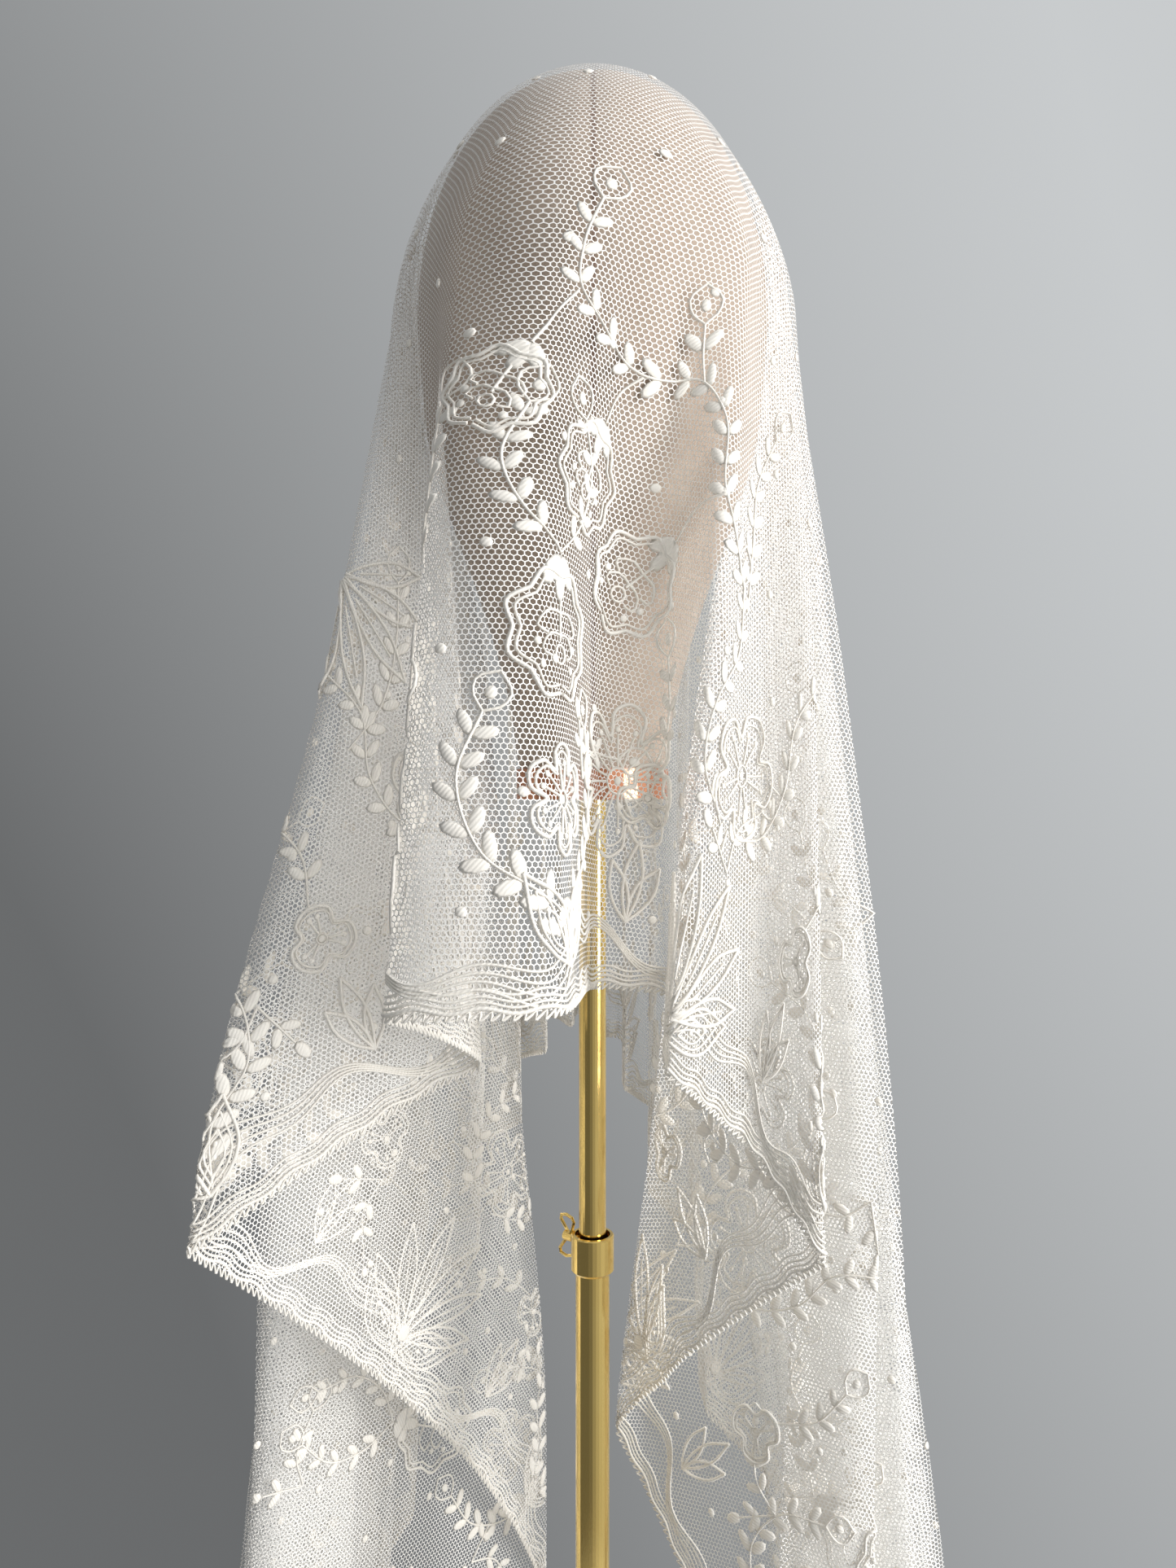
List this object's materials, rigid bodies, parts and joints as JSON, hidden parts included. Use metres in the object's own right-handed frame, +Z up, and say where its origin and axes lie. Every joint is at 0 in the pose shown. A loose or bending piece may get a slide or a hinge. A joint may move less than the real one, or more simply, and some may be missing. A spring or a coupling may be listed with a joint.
{
  "type": "bridal veil on a head form stand",
  "caption": "Bridal veil of embroidered net draped over a linen head form, on a slim brass floor stand with a sliding mast, a clamp collar with a bent wire key, and a round weighted base.",
  "frame": {"origin": "centre of the base's underside, on the floor", "axes": "+Z up along the pole, -Y towards the front of the veil, +X to the viewer's right"},
  "size_m": [0.4186, 0.2893, 1.4496],
  "materials": {
    "brass": "polished",
    "copper": null,
    "linen": "plain woven linen over a stuffed form",
    "net": "ivory hexagonal cotton net, embroidered",
    "edging": "ivory looped thread edging"
  },
  "bodies": {
    "stand": {"base": "brass", "lower_tube": "brass", "collar": "brass"},
    "key": {"key": "brass"},
    "mast": {"mast": "brass"},
    "head": {"neck_ring": "copper", "head_form": "linen", "veil_crown": "net", "veil_front": "net", "veil_right_front": "net", "veil_right_back": "net", "veil_back": "net", "veil_left_back": "net", "veil_left_front": "net", "edging_front": "edging", "edging_right_front": "edging", "edging_right_back": "edging", "edging_back": "edging", "edging_left_back": "edging", "edging_left_front": "edging"}
  },
  "joints": [
    {"name": "key_turn", "type": "hinge", "parent": "stand", "child": "key", "pos_m": [0, 0, 0.947], "axis": [-0.766, 0.6428, 0], "continuous": true},
    {"name": "mast_slide", "type": "slide", "parent": "stand", "child": "mast", "axis": [0, 0, 1], "range_m": [-0.12, 0.18]},
    {"name": "head_turn", "type": "hinge", "parent": "mast", "child": "head", "pos_m": [0, 0, 1.15], "axis": [0, 0, 1], "continuous": true}
  ]
}
